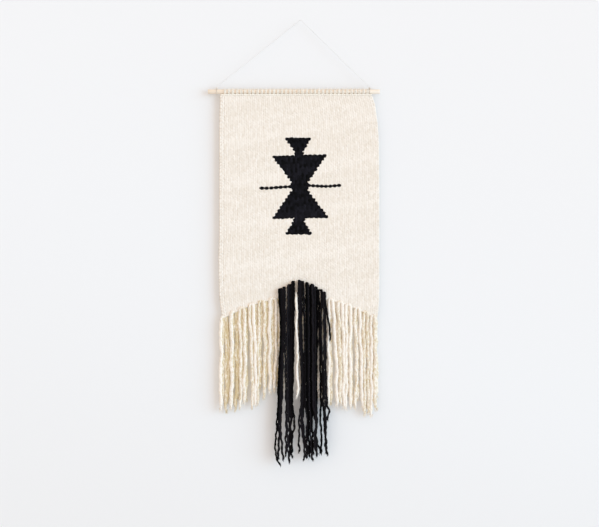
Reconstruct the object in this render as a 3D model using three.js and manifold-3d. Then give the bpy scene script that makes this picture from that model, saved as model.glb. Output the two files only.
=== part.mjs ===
// Tapestry wall hanging: a woven wool panel on a wooden dowel, hung by one thread from a nail.
// Millimetres, +Z up, +X to the right, the front faces -Y. The origin is the point of the nail
// that the thread rests on. Everything hangs down from there along -Z.

import * as THREE from 'three';
import { mergeVertices } from 'three/addons/utils/BufferGeometryUtils.js';
import Module from 'manifold-3d';

const wasm = await Module();
wasm.setup();

// Clearance between pieces that touch in the real thing.
const clearance = 0.3;

// Hanging thread: its route from the left knot over the nail to the right knot.
const threadDiameter = 0.8;
const threadSides = 8;
const threadSteps = 80;
const threadRoute = [
  [-147.8, 0, -117.4],
  [-130, 0, -103.1],
  [-110, 0, -87.0],
  [-90, 0, -70.9],
  [-70, 0, -54.8],
  [-50, 0, -38.8],
  [-30, 0, -22.7],
  [-12, 0, -8.2],
  [-4, 0, -1.8],
  [-1.9, 0, -0.1],
  [0, 0, 0.6],
  [2.1, 0, -0.25],
  [4, 0, -2.1],
  [12, 0, -9.9],
  [30, 0, -27.5],
  [50, 0, -47.1],
  [70, 0, -66.6],
  [90, 0, -86.1],
  [106, 0, -101.8],
  [122, 0, -117.4],
];
const knotBall = 3.2;
const knotWrapWidth = 2.6;
const knotWrapThickness = 1.2;
const knotWrapSides = 16;
const knotBallSides = 10;
const knotBallRings = 8;

// Dowel: it lies in the two knots.
const dowelDiameter = 8;
const dowelLength = 304;
const dowelCentreX = -11.7;
const dowelSides = 32;

// Warp loops: doubled cotton ends that turn over the dowel.
const loopCount = 36;
const loopPitch = 7.2;
const loopFirstX = -133.6;
const loopWidth = 3.2;
const loopYarn = 1.2;
const loopSegments = 12;
const headerHeight = 1.5;
const headerDepth = 2.4;
const loopStemWidth = 1.2;
const headerMargin = 8.5;

// Woven panel.
const panelLeftX = -143.7;
const panelRightX = 139.4;
const panelThickness = 5;
const panelCornerZ = -527;
const panelCornerInset = 4;
const panelCornerRise = 32;
const archRise = 39;
const shoulderInset = 11;
const shoulderDrop = 48;
const outlineSegments = 16;

// Black figure woven into the panel: four stepped wedges, two necks and a waist.
const figureCentreX = -2.6;
const figureTopZ = -208.5;
const stepHeight = 5.9;
const capSteps = 4;
const capHalfWidth = 22.5;
const wedgeSteps = 8;
const wedgeHalfWidth = 47.5;
const neckHalfWidth = 8.5;
const neckHeight = 4.4;
const waistHalfWidth = 14.2;
const waistHeight = 15;
const lineHeight = 4;
const lineLeftTipX = -72.6;
const lineRightTipX = 69.9;

// Cream fringe: lengths of yarn folded double and knotted into the lower edge.
// How far each strand falls below the panel's lower corners, from left to right.
const creamGroups = [
  { name: 'left', leftX: -142, rightX: -42, count: 6 },
  { name: 'centre', leftX: -42, rightX: 45.4, count: 5 },
  { name: 'right', leftX: 45.4, rightX: 139.4, count: 6 },
];
const creamStrandDiameter = 7;
const creamStrandOffset = 3.9;
const creamKnotDiameter = 7;
const creamFall = {
  left: [161, 164, 159, 162, 149, 157, 153, 154, 145, 137, 127, 131],
  centre: [128, 125, 130, 133, 129, 126, 133, 131, 137, 141],
  right: [156, 151, 157, 159, 156, 153, 160, 157, 170, 167, 172, 163],
};

// Black fringe: thinner yarn knotted onto the front face in two bunches, in a curved row.
// Its falls are also below the panel's lower corners.
const blackGroups = [
  { leftX: -41.6, count: 4 },
  { leftX: -5.4, count: 7 },
];
const blackPitch = 7.2;
const blackRowAboveArch = 28;
const blackRowSag = 17;
const blackRowHalfSpan = 43;
const blackStrandDiameter = 3.6;
const blackStrandOffset = 1.5;
const blackLayerSpacing = 2.9;
const blackKnotDiameter = 6.4;
const blackFall = [
  233, 257, 243, 249, 255, 245, 251, 237, 230, 239, 251,
  241, 245, 235, 244, 247, 252, 238, 243, 231, 237, 241,
];
const knotSides = 10;
const strandSides = 8;
const strandTaper = 0.85;

// What follows from the sizes above.
const threadEndZ = threadRoute[0][2];
const dowelRadius = dowelDiameter / 2;
const wrapInnerRadius = dowelRadius + clearance;
const wrapOuterRadius = wrapInnerRadius + knotWrapThickness;
const knotBallCentre = wrapOuterRadius + knotBall / 4;
const dowelZ = threadEndZ - clearance - knotBall / 2 - knotBallCentre;
const loopOuterRadius = wrapInnerRadius + loopYarn;
const headerTop = loopOuterRadius + clearance;
const headerBottom = headerTop + headerHeight;
const headerReach = Math.hypot(headerBottom, headerDepth / 2);
const panelTopZ = dowelZ - headerReach - clearance;
const panelFrontY = -panelThickness / 2;
const panelMiddleX = (panelLeftX + panelRightX) / 2;
const archHalfSpan = (panelRightX - panelLeftX) / 2 - panelCornerInset;
const archTopZ = panelCornerZ + archRise;
const blackRowTopZ = archTopZ + blackRowAboveArch;
const blackKnotY = panelFrontY - clearance - blackKnotDiameter / 2;
const creamFrontY = -Math.max(creamKnotDiameter, creamStrandDiameter) / 2;
const blackBackLayerY = creamFrontY - 2 * clearance - blackStrandDiameter / 2;

const wood = new THREE.MeshStandardMaterial({ color: 0xe9d8c4, roughness: 0.6, metalness: 0 });
const cotton = new THREE.MeshStandardMaterial({ color: 0xf3eee5, roughness: 0.9, metalness: 0 });
const panelWool = new THREE.MeshStandardMaterial({ color: 0xf2e9dc, roughness: 0.95, metalness: 0 });
const creamWool = new THREE.MeshStandardMaterial({ color: 0xead9c2, roughness: 0.95, metalness: 0 });
const blackWool = new THREE.MeshStandardMaterial({ color: 0x1b1a1e, roughness: 0.9, metalness: 0 });

// A closed three.js geometry as a solid that can be joined and cut.
function toSolid(geometry) {
  const bare = geometry.clone();
  bare.deleteAttribute('normal');
  bare.deleteAttribute('uv');
  const merged = mergeVertices(bare, 1e-4);
  return new wasm.Manifold(new wasm.Mesh({
    numProp: 3,
    vertProperties: Float32Array.from(merged.attributes.position.array),
    triVerts: Uint32Array.from(merged.index.array),
  }));
}

function toGeometry(solid) {
  const mesh = solid.getMesh();
  const geometry = new THREE.BufferGeometry();
  geometry.setAttribute('position', new THREE.BufferAttribute(mesh.vertProperties, 3));
  geometry.setIndex(new THREE.BufferAttribute(mesh.triVerts, 1));
  geometry.computeVertexNormals();
  return geometry;
}

function joined(geometries) {
  return geometries.map(toSolid).reduce((whole, piece) => whole.add(piece));
}

function named(name, geometry, material) {
  const mesh = new THREE.Mesh(geometry, material);
  mesh.name = name;
  return mesh;
}

// A cylinder that lies along X.
function bar(radius, length, sides) {
  const geometry = new THREE.CylinderGeometry(radius, radius, length, sides);
  geometry.rotateZ(Math.PI / 2);
  return geometry;
}

// A box given by the limits of its three sides.
function block(x0, x1, y0, y1, z0, z1) {
  const geometry = new THREE.BoxGeometry(x1 - x0, y1 - y0, z1 - z0);
  geometry.translate((x0 + x1) / 2, (y0 + y1) / 2, (z0 + z1) / 2);
  return geometry;
}

function dowel() {
  const mesh = named('dowel', bar(dowelRadius, dowelLength, dowelSides), wood);
  mesh.position.set(dowelCentreX, 0, dowelZ);
  return mesh;
}

function hangingThread() {
  const route = new THREE.CatmullRomCurve3(
    threadRoute.map((point) => new THREE.Vector3(...point)),
    false,
    'centripetal',
  );
  const section = new THREE.Shape();
  for (let side = 0; side < threadSides; side += 1) {
    const angle = (2 * Math.PI * side) / threadSides;
    const x = (Math.cos(angle) * threadDiameter) / 2;
    const y = (Math.sin(angle) * threadDiameter) / 2;
    if (side === 0) section.moveTo(x, y);
    else section.lineTo(x, y);
  }
  section.closePath();
  const geometry = new THREE.ExtrudeGeometry(section, { steps: threadSteps, extrudePath: route });
  return named('hanging_cord', geometry, cotton);
}

// The thread goes twice round the dowel and is tied in a small ball on top.
function threadKnot(name, x) {
  const half = knotWrapWidth / 2;
  const edge = knotWrapThickness / 3;
  const profile = [
    new THREE.Vector2(wrapInnerRadius, -half),
    new THREE.Vector2(wrapOuterRadius - edge, -half),
    new THREE.Vector2(wrapOuterRadius, -half + edge),
    new THREE.Vector2(wrapOuterRadius, half - edge),
    new THREE.Vector2(wrapOuterRadius - edge, half),
    new THREE.Vector2(wrapInnerRadius, half),
    new THREE.Vector2(wrapInnerRadius, -half),
  ];
  const wrap = new THREE.LatheGeometry(profile, knotWrapSides);
  wrap.rotateZ(Math.PI / 2);
  const ball = new THREE.SphereGeometry(knotBall / 2, knotBallSides, knotBallRings);
  ball.translate(0, 0, knotBallCentre);
  const mesh = named(name, toGeometry(joined([wrap, ball])), cotton);
  mesh.position.set(x, 0, dowelZ);
  return mesh;
}

// One loop: a ring round the dowel with a stem that runs down into the header.
function warpLoop(x) {
  const stemHalf = loopStemWidth / 2;
  const spread = Math.asin(stemHalf / loopOuterRadius);
  const outline = new THREE.Shape();
  outline.moveTo(-stemHalf, -headerTop - headerHeight / 2);
  outline.lineTo(stemHalf, -headerTop - headerHeight / 2);
  for (let step = 0; step <= loopSegments; step += 1) {
    const angle = -Math.PI / 2 + spread + ((2 * Math.PI - 2 * spread) * step) / loopSegments;
    outline.lineTo(loopOuterRadius * Math.cos(angle), loopOuterRadius * Math.sin(angle));
  }
  outline.closePath();
  const eye = new THREE.Path();
  for (let step = 0; step < loopSegments; step += 1) {
    const angle = (-2 * Math.PI * step) / loopSegments;
    const radius = wrapInnerRadius / Math.cos(Math.PI / loopSegments);
    const point = [radius * Math.cos(angle), radius * Math.sin(angle)];
    if (step === 0) eye.moveTo(...point);
    else eye.lineTo(...point);
  }
  eye.closePath();
  outline.holes.push(eye);
  const geometry = new THREE.ExtrudeGeometry(outline, { depth: loopWidth, bevelEnabled: false });
  geometry.rotateY(Math.PI / 2);
  geometry.rotateX(Math.PI / 2);
  geometry.translate(x - loopWidth / 2, 0, 0);
  return geometry;
}

function warpLoops() {
  const loops = [];
  for (let index = 0; index < loopCount; index += 1) {
    loops.push(warpLoop(loopFirstX + index * loopPitch));
  }
  const lastX = loopFirstX + (loopCount - 1) * loopPitch;
  const header = block(
    loopFirstX - headerMargin,
    lastX + headerMargin,
    -headerDepth / 2,
    headerDepth / 2,
    -headerBottom,
    -headerTop,
  );
  const mesh = named('warp_loops', toGeometry(joined([header, ...loops])), cotton);
  mesh.position.set(0, 0, dowelZ);
  return mesh;
}

// Height of the panel's lower edge at x: a parabola with its top in the middle.
function lowerEdgeZ(x) {
  return archTopZ - archRise * ((x - panelMiddleX) / archHalfSpan) ** 2;
}

// The rows of the black figure, each {top, bottom, half}, from a width to another in equal steps.
function wedgeRows(top, steps, halfTop, halfBottom) {
  const rows = [];
  for (let step = 0; step < steps; step += 1) {
    const half = halfTop + ((halfBottom - halfTop) * step) / (steps - 1);
    rows.push({ top: top - step * stepHeight, bottom: top - (step + 1) * stepHeight, half });
  }
  return rows;
}

function figureRows() {
  const rows = wedgeRows(figureTopZ, capSteps, capHalfWidth, neckHalfWidth);
  const below = () => rows[rows.length - 1].bottom;
  rows.push({ top: below(), bottom: below() - neckHeight, half: neckHalfWidth });
  rows.push(...wedgeRows(below(), wedgeSteps, wedgeHalfWidth, waistHalfWidth));
  rows.push({ top: below(), bottom: below() - waistHeight, half: waistHalfWidth, waist: true });
  rows.push(...wedgeRows(below(), wedgeSteps, waistHalfWidth, wedgeHalfWidth));
  rows.push({ top: below(), bottom: below() - neckHeight, half: neckHalfWidth });
  rows.push(...wedgeRows(below(), capSteps, neckHalfWidth, capHalfWidth));
  return rows;
}

// Blocks that make up the figure, grown by a margin on every side.
function figureBlocks(margin, depthMargin) {
  return figureRows().map((row) => block(
    figureCentreX - row.half - margin,
    figureCentreX + row.half + margin,
    panelFrontY - depthMargin,
    -panelFrontY + depthMargin,
    row.bottom - margin,
    row.top + margin,
  ));
}

function lineBlock(side, margin, depthMargin) {
  const waist = figureRows().find((row) => row.waist);
  const middle = (waist.top + waist.bottom) / 2;
  const tip = side < 0 ? lineLeftTipX : lineRightTipX;
  const root = figureCentreX + side * (waist.half + clearance);
  return block(
    Math.min(tip, root) - margin,
    Math.max(tip, root) + margin,
    panelFrontY - depthMargin,
    -panelFrontY + depthMargin,
    middle - lineHeight / 2 - margin,
    middle + lineHeight / 2 + margin,
  );
}

function wovenGround() {
  const outline = new THREE.Shape();
  const cornerLeft = panelLeftX + panelCornerInset;
  const cornerRight = panelRightX - panelCornerInset;
  outline.moveTo(panelLeftX, panelTopZ);
  outline.lineTo(panelLeftX, panelCornerZ + panelCornerRise);
  outline.quadraticCurveTo(panelLeftX, panelCornerZ + panelCornerRise / 2, cornerLeft, panelCornerZ);
  outline.quadraticCurveTo(panelMiddleX, panelCornerZ + 2 * archRise, cornerRight, panelCornerZ);
  outline.quadraticCurveTo(
    panelRightX,
    panelCornerZ + panelCornerRise / 2,
    panelRightX,
    panelCornerZ + panelCornerRise,
  );
  outline.lineTo(panelRightX, panelTopZ - shoulderDrop);
  outline.quadraticCurveTo(
    panelRightX - shoulderInset / 2,
    panelTopZ - shoulderDrop / 4,
    panelRightX - shoulderInset,
    panelTopZ,
  );
  outline.closePath();
  const cloth = new THREE.ExtrudeGeometry(outline, {
    depth: panelThickness,
    bevelEnabled: false,
    curveSegments: outlineSegments,
  });
  cloth.rotateX(Math.PI / 2);
  cloth.translate(0, panelThickness / 2, 0);
  const figure = joined([
    ...figureBlocks(clearance, panelThickness),
    lineBlock(-1, clearance, panelThickness),
    lineBlock(1, clearance, panelThickness),
  ]);
  return named('woven_ground', toGeometry(toSolid(cloth).subtract(figure)), panelWool);
}

function wovenFigure() {
  return named('woven_figure', toGeometry(joined(figureBlocks(0, 0))), blackWool);
}

// A knotted length of yarn: the knot is a bar along X and the strands hang from it.
function tassel(name, knot, strands, material) {
  const pieces = [bar(knot.diameter / 2, knot.width, knotSides)];
  for (const strand of strands) {
    const length = knot.z - strand.endZ;
    const radius = strand.diameter / 2;
    const yarn = new THREE.CylinderGeometry(radius, radius * strandTaper, length, strandSides);
    yarn.rotateX(Math.PI / 2);
    yarn.translate(strand.x, strand.y, -length / 2);
    pieces.push(yarn);
  }
  const mesh = named(name, toGeometry(joined(pieces)), material);
  mesh.position.set(knot.x, knot.y, knot.z);
  return mesh;
}

function creamTassel(group, index) {
  const pitch = (group.rightX - group.leftX) / group.count;
  const x = group.leftX + pitch * (index + 0.5);
  const width = 2 * creamStrandOffset + creamStrandDiameter;
  const lowest = Math.min(lowerEdgeZ(x - width / 2), lowerEdgeZ(x + width / 2));
  const knot = {
    x,
    y: 0,
    z: lowest - clearance - creamKnotDiameter / 2,
    diameter: creamKnotDiameter,
    width,
  };
  const strands = [-1, 1].map((side, place) => ({
    x: side * creamStrandOffset,
    y: 0,
    endZ: panelCornerZ - creamFall[group.name][2 * index + place],
    diameter: creamStrandDiameter,
  }));
  return tassel(`cream_tassel_${group.name}_${index + 1}`, knot, strands, creamWool);
}

function blackTassel(x, number) {
  const fall = blackRowSag * ((x - panelMiddleX) / blackRowHalfSpan) ** 2;
  const knot = {
    x,
    y: blackKnotY,
    z: blackRowTopZ - fall - blackKnotDiameter / 2,
    diameter: blackKnotDiameter,
    width: 2 * blackStrandOffset + blackStrandDiameter,
  };
  const strands = [-1, 1].map((side, place) => ({
    x: side * blackStrandOffset,
    y: blackBackLayerY - blackKnotY - (place === number % 2 ? 0 : blackLayerSpacing),
    endZ: panelCornerZ - blackFall[2 * (number - 1) + place],
    diameter: blackStrandDiameter,
  }));
  return tassel(`black_tassel_${number}`, knot, strands, blackWool);
}

const hanging = new THREE.Group();
hanging.add(hangingThread());
hanging.add(threadKnot('cord_knot_left', threadRoute[0][0]));
hanging.add(threadKnot('cord_knot_right', threadRoute[threadRoute.length - 1][0]));
hanging.add(dowel());
hanging.add(warpLoops());
hanging.add(wovenGround());
hanging.add(wovenFigure());
hanging.add(named('woven_line_left', lineBlock(-1, 0, 0), blackWool));
hanging.add(named('woven_line_right', lineBlock(1, 0, 0), blackWool));
for (const group of creamGroups) {
  for (let index = 0; index < group.count; index += 1) {
    hanging.add(creamTassel(group, index));
  }
}
let blackNumber = 0;
for (const group of blackGroups) {
  for (let index = 0; index < group.count; index += 1) {
    blackNumber += 1;
    hanging.add(blackTassel(group.leftX + blackPitch * (index + 0.5), blackNumber));
  }
}

export default hanging;
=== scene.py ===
import math

import bpy
import numpy as np
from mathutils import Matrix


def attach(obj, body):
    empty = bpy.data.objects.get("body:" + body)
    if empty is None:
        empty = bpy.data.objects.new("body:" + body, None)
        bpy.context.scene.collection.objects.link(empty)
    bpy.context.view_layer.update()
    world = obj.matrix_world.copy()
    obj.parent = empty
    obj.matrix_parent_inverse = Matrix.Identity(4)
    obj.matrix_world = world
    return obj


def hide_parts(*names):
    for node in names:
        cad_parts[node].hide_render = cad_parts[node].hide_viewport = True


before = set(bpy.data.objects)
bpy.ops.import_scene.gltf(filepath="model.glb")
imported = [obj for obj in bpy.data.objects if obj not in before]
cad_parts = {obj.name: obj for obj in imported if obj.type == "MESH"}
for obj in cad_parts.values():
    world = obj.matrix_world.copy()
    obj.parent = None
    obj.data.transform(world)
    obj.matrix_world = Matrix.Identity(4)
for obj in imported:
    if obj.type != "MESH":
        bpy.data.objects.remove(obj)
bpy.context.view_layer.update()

MM = 0.001


# ----- Sizes in millimetres, in the frame of the part: the nail is the origin.

DOWEL_Z = -125.6
DOWEL_RADIUS = 4.0
DOWEL_LEFT_X, DOWEL_RIGHT_X = -163.7, 140.3

THREAD_DIAMETER = 0.8
THREAD_ROUTE = [
    (-147.8, 0, -117.4), (-130, 0, -103.1), (-110, 0, -87.0), (-90, 0, -70.9),
    (-70, 0, -54.8), (-50, 0, -38.8), (-30, 0, -22.7), (-12, 0, -8.2),
    (-4, 0, -1.8), (-1.9, 0, -0.1), (0, 0, 0.6), (2.1, 0, -0.25),
    (4, 0, -2.1), (12, 0, -9.9), (30, 0, -27.5), (50, 0, -47.1),
    (70, 0, -66.6), (90, 0, -86.1), (106, 0, -101.8), (122, 0, -117.4),
]

LOOPS = 36
LOOP_PITCH = 7.2
LOOP_FIRST_X = -133.6
COTTON_RADIUS = 0.9
# How far the header row lies from the axis of the dowel.
HEADER_REACH = 6.3

# The panel: columns of weft beads, one column for each warp end. Two ends are as wide as one
# bead of a pick that passes over every second one.
COLUMNS = 72
COLUMN_PITCH = 3.9
TWO_ENDS = 7.86
BEAD_HEIGHT = 5.9
BEAD_TIP = 0.4
PANEL_TOP_Z = -132.6
PANEL_BOTTOM_Z = -529.0
PANEL_HALF_THICKNESS = 2.5
EDGE_Z = [-132, -150, -172, -190, -218, -300, -370, -420, -470, -495, -512, -529]
LEFT_EDGE_X = [-142.5, -143.0, -143.4, -143.7, -143.8, -143.8, -143.9, -145.1, -144.3, -143.2,
               -140.6, -137.5]
RIGHT_EDGE_X = [126.6, 132.4, 135.4, 137.2, 139.0, 139.4, 139.4, 139.6, 139.4, 139.2, 138.0,
                136.0]
ARCH_TOP_Z = -488.0
ARCH_RISE = 39.0
ARCH_MIDDLE_X = -2.2
ARCH_HALF_SPAN = 137.5


# ----- Finishes


class Number:
    """A socket that carries a number, so that sums of it add Math nodes."""

    def __init__(self, finish, socket):
        self.finish, self.socket = finish, socket

    def _sum(self, operation, first, second):
        node = self.finish.node("ShaderNodeMath", {"operation": operation}, {0: first, 1: second})
        return Number(self.finish, node.outputs[0])

    def __add__(self, other):
        return self._sum("ADD", self, other)

    def __radd__(self, other):
        return self._sum("ADD", other, self)

    def __sub__(self, other):
        return self._sum("SUBTRACT", self, other)

    def __rsub__(self, other):
        return self._sum("SUBTRACT", other, self)

    def __mul__(self, other):
        return self._sum("MULTIPLY", self, other)

    def __rmul__(self, other):
        return self._sum("MULTIPLY", other, self)


class Finish:
    """A material and its node tree."""

    def __init__(self, name):
        self.material = bpy.data.materials.new(name)
        self.material.use_nodes = True
        self.tree = self.material.node_tree
        self.tree.nodes.clear()

    def node(self, kind, settings=None, inputs=None):
        """Adds a node: its settings are set first, then each input gets a value or a link."""
        node = self.tree.nodes.new(kind)
        for key, value in (settings or {}).items():
            if key == "stops":
                ramp = node.color_ramp
                while len(ramp.elements) < len(value):
                    ramp.elements.new(0.5)
                for element, (place, colour) in zip(ramp.elements, value):
                    element.position, element.color = place, colour
            else:
                setattr(node, key, value)
        for key, value in (inputs or {}).items():
            if isinstance(value, Number):
                value = value.socket
            if isinstance(value, bpy.types.NodeSocket):
                self.tree.links.new(value, node.inputs[key])
            else:
                node.inputs[key].default_value = value
        return node

    def number(self, socket):
        return Number(self, socket)

    def place(self, scale=(1, 1, 1), turn=(0, 0, 0)):
        """Object coordinates, scaled and turned."""
        where = self.node("ShaderNodeTexCoord").outputs["Object"]
        inputs = {"Vector": where, "Scale": scale, "Rotation": turn}
        return self.node("ShaderNodeMapping", None, inputs).outputs[0]

    def noise(self, scale, turn=(0, 0, 0), detail=2.0, roughness=0.6):
        """Noise over scaled and turned Object coordinates: scale is its cells to the metre."""
        where = self.place(scale, turn)
        inputs = {"Vector": where, "Scale": 1.0, "Detail": detail, "Roughness": roughness}
        return self.number(self.node("ShaderNodeTexNoise", None, inputs).outputs["Fac"])

    def tone(self):
        """The piece's own shade value, from 0 to 1."""
        node = self.node("ShaderNodeAttribute", {"attribute_name": "tone"})
        return self.number(node.outputs["Fac"])

    def ramp(self, factor, *stops):
        stops = [(place, (*colour, 1)) for place, colour in stops]
        return self.node("ShaderNodeValToRGB", {"stops": stops}, {"Fac": factor}).outputs["Color"]

    def bump(self, height, strength, distance):
        inputs = {"Height": height, "Strength": strength, "Distance": distance}
        return self.node("ShaderNodeBump", None, inputs).outputs[0]

    def surface(self, colour, roughness, normal, specular, sheen=None):
        """Ends the tree in a Principled shader. Sheen is its weight and its roughness."""
        inputs = {"Base Color": colour, "Roughness": roughness, "Normal": normal}
        inputs["Specular IOR Level"] = specular
        if sheen:
            inputs["Sheen Weight"], inputs["Sheen Roughness"] = sheen
        self.close(self.node("ShaderNodeBsdfPrincipled", None, inputs).outputs[0])
        return self.material

    def close(self, socket):
        self.node("ShaderNodeOutputMaterial", None, {"Surface": socket})


# Scales of the noises in the finishes, in cells to the metre.
BLOTCHES = (38, 38, 38)
CURLS = (430, 430, 210)
WOOL_FIBRES = (900, 900, 900)
BLACK_FIBRES = (1100, 1100, 1100)
COTTON_FIBRES = (1600, 1600, 1600)
WOOD_GRAIN = (14, 900, 900)
WOOD_BANDS = (6, 260, 260)
WOOD_PORES = (160, 3200, 3200)


def natural_wool(name, light, dark, fibre_scale, fibre_turn, depth, curl):
    """Undyed wool: mottled cream, streaked along its fibres and curls, with painted shade in their
    hollows, and a soft sheen.
    """
    finish = Finish(name)
    curls = finish.noise(CURLS)
    streaks = finish.noise(fibre_scale, fibre_turn, detail=3.0)
    blotches = finish.noise(BLOTCHES, roughness=0.5)
    fine = finish.noise(WOOL_FIBRES)
    # Streaks and curls darken the colour where the bump sinks: partly the wool's own mottling,
    # partly painted shade in the hollows.
    mix = streaks * 0.35 + blotches * 0.25 + finish.tone() * 0.4 + (curls - 0.5) * curl
    colour = finish.ramp(mix, (0.3, dark), (0.66, light))
    height = streaks + fine * 0.35 + curls * curl
    normal = finish.bump(height, 0.55, depth)
    return finish.surface(colour, 0.92, normal, 0.2, sheen=(0.12, 0.6))


def black_wool(name, fibre_scale, fibre_turn, light, shine):
    """Black dyed wool: nearly black, its raised fibre streaks lighter and cooler, partly the wool's
    own variation and partly painted highlight.
    """
    finish = Finish(name)
    streaks = finish.noise(fibre_scale, fibre_turn, detail=3.0)
    fine = finish.noise(BLACK_FIBRES)
    # The raised streaks get the lighter, cooler colour: partly the wool's own variation, partly
    # painted highlight.
    mix = streaks * 0.6 + finish.tone() * 0.4
    colour = finish.ramp(mix, (0.36, (0.0006, 0.0005, 0.0006)), (0.72, light))
    normal = finish.bump(streaks + fine * 0.4, 0.6, 0.0006)
    return finish.surface(colour, 0.9, normal, shine, sheen=(0.03, 0.4))


COTTON_PLIES = 3.0


def cotton(name, light, dark, twist):
    """Plied cotton: slanted plies that follow the yarn by its own map, as the sine of
    2 pi * (length along * twist + share of the way round * plies), with painted shade in the grooves
    between them."""
    finish = Finish(name)
    where = finish.node("ShaderNodeUVMap", {"uv_map": "yarn"}).outputs[0]
    split = finish.node("ShaderNodeSeparateXYZ", None, {0: where})
    along, around = finish.number(split.outputs[0]), finish.number(split.outputs[1])
    phase = (along * twist + around * COTTON_PLIES) * (2 * math.pi)
    ply = finish.number(finish.node("ShaderNodeMath", {"operation": "SINE"}, {0: phase}).outputs[0])
    fine = finish.noise(COTTON_FIBRES)
    # The ply sine also darkens the colour along the grooves between plies, where the bump sinks:
    # painted shade.
    mix = ply * 0.2 + fine * 0.3 + finish.tone() * 0.4 + 0.1
    colour = finish.ramp(mix, (0.15, dark), (0.6, light))
    normal = finish.bump(ply * 0.5 + fine * 0.25, 0.8, 0.0003)
    return finish.surface(colour, 0.85, normal, 0.25, sheen=(0.15, 0.5))


def bare_wood(name):
    """Sanded pale wood: long grain lines along the dowel, short pores and a dull shine, and painted
    light that makes it paler towards the right end, where the window light falls."""
    finish = Finish(name)
    grain = finish.noise(WOOD_GRAIN, detail=3.0)
    bands = finish.noise(WOOD_BANDS, roughness=0.5)
    pores = finish.noise(WOOD_PORES)
    split = finish.node("ShaderNodeSeparateXYZ", None, {0: finish.place()})
    # x along the dowel adds painted light: the wood is paler towards the right end, where the window
    # light falls.
    mix = grain * 0.45 + bands * 0.4 + pores * 0.15 + finish.number(split.outputs[0]) * 0.5
    colour = finish.ramp(
        mix,
        (0.32, (0.76, 0.60, 0.45)),
        (0.48, (0.90, 0.78, 0.64)),
        (0.66, (0.97, 0.91, 0.82)),
    )
    dull = finish.node("ShaderNodeMapRange", None, {"Value": pores, "To Min": 0.5, "To Max": 0.68})
    normal = finish.bump(grain * 0.6 + pores * 0.4, 0.35, 0.0002)
    return finish.surface(colour, dull.outputs[0], normal, 0.35)


def plain_stage(name, colour, glow):
    """A plain surface seen from its front only. The camera sees it lit, and to everything else
    it glows evenly, for the light it would bounce."""
    finish = Finish(name)
    diffuse = finish.node("ShaderNodeBsdfDiffuse", None, {"Color": (*colour, 1)}).outputs[0]
    inputs = {"Color": (*colour, 1), "Strength": glow}
    bounce = finish.node("ShaderNodeEmission", None, inputs).outputs[0]
    clear = finish.node("ShaderNodeBsdfTransparent").outputs[0]
    seen = finish.number(finish.node("ShaderNodeLightPath").outputs["Is Camera Ray"])
    behind = finish.number(finish.node("ShaderNodeNewGeometry").outputs["Backfacing"])
    lit = finish.node("ShaderNodeMixShader", None, {0: seen, 1: bounce, 2: diffuse}).outputs[0]
    whole = finish.node("ShaderNodeMixShader", None, {0: behind, 1: lit, 2: clear}).outputs[0]
    finish.close(whole)
    return finish.material


# ----- Shapes


def drift(place, rng, pitch, octaves=3):
    """Smooth unevenness along a length: a sum of sines whose periods start at about the pitch
    and shrink by 0.6 each time, as their heights do, with random phases, scaled to about -1 to
    1."""
    shrink, full_height = 0.6, 1.5
    total = np.zeros_like(place)
    for octave in range(octaves):
        period = pitch * shrink**octave * rng.uniform(0.85, 1.15)
        total += shrink**octave * np.sin(2 * np.pi * (place / period + rng.random()))
    return total / full_height


def curve_through(points, spacing, steps=24):
    """Points at an even spacing along the Catmull-Rom curve through the given ones: between
    two of them the position is a cubic whose end slopes are half the chord of its neighbours."""
    p = np.asarray(points, float)
    p = np.vstack([2 * p[0] - p[1], p, 2 * p[-1] - p[-2]])
    t = np.linspace(0, 1, steps, endpoint=False)[None, :, None]
    a, b, c, d = p[:-3, None], p[1:-2, None], p[2:-1, None], p[3:, None]
    cubic = 2 * b + (c - a) * t + (2 * a - 5 * b + 4 * c - d) * t**2 + (3 * b - a - 3 * c + d) * t**3
    dense = np.vstack([(cubic / 2).reshape(-1, 3), p[-2]])
    length = np.append(0, np.cumsum(np.linalg.norm(np.diff(dense, axis=0), axis=1)))
    count = max(3, int(round(length[-1] / spacing)) + 1)
    at = np.linspace(0, length[-1], count)
    return np.stack([np.interp(at, length, dense[:, axis]) for axis in range(3)], axis=1)


def grouped(*parts):
    """Rows of as many numbers as there are parts, one number from each."""
    return np.stack(parts, -1).reshape(-1, len(parts))


def round_angles(sides):
    """Evenly spaced angles round a yarn."""
    return 2 * np.pi * np.arange(sides) / sides


def lengths(path):
    """Distance of each point of a path from its start."""
    return np.append(0, np.cumsum(np.linalg.norm(np.diff(path, axis=0), axis=1)))


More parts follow.
